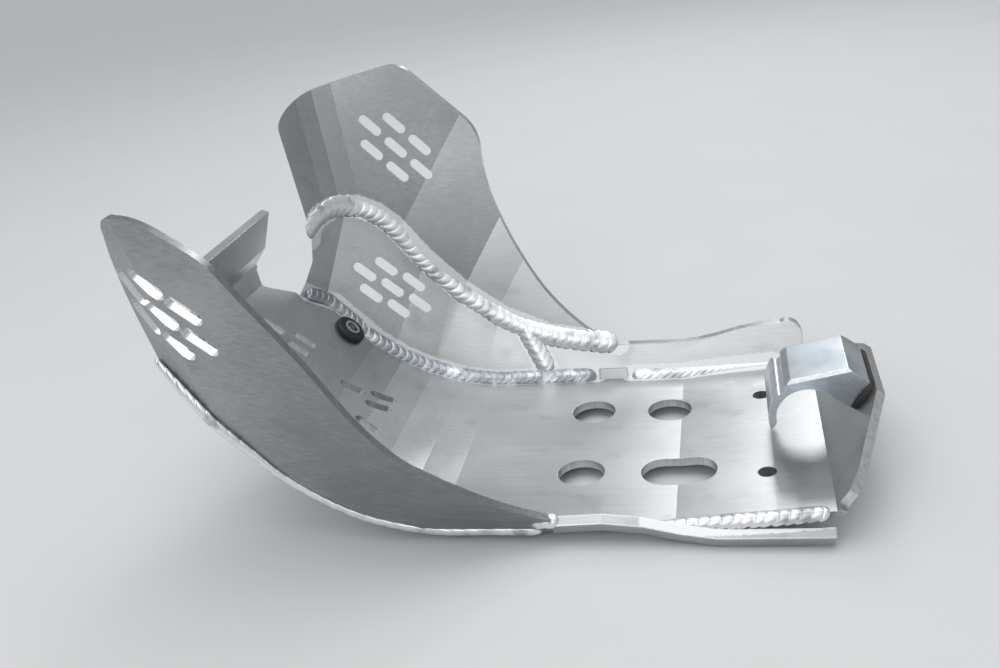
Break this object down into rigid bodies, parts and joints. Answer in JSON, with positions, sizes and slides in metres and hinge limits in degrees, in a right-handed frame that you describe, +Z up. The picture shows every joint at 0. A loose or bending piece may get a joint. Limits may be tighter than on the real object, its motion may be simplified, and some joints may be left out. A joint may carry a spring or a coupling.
{
  "type": "motorcycle skid plate",
  "caption": "Welded aluminium skid plate: bent floor and slotted nose between flared, slotted side wings, with a machined hook that saddles the frame's cross tube.",
  "frame": {"origin": "on the floor's upper face, on the centre line, midway between the two front service holes", "axes": "+X to the rear of the machine, +Y to its right side, +Z up, at right angles to the flat floor"},
  "size_m": [0.3623, 0.2473, 0.2084],
  "materials": {
    "sheet": "mill finish, brushed in places",
    "weld": "bright rippled weld metal",
    "machined": "milled",
    "pad_rubber": "matt",
    "rubber": "matt",
    "zinc": "zinc plated"
  },
  "bodies": {
    "root": {"base_plate": "sheet", "left_rail": "sheet", "right_lower_wing": "sheet", "right_rear_wall": "sheet", "right_upper_wing": "sheet", "left_wing": "sheet", "tube_hook": "machined", "hook_pad": "pad_rubber", "grommet": "rubber", "sleeve": "zinc", "seam_bead": "weld", "floor_bead": "weld", "joint_bead": "weld", "wall_bead": "weld", "edge_bead": "weld", "rail_bead": "weld", "tack_bead": "weld"}
  },
  "joints": []
}
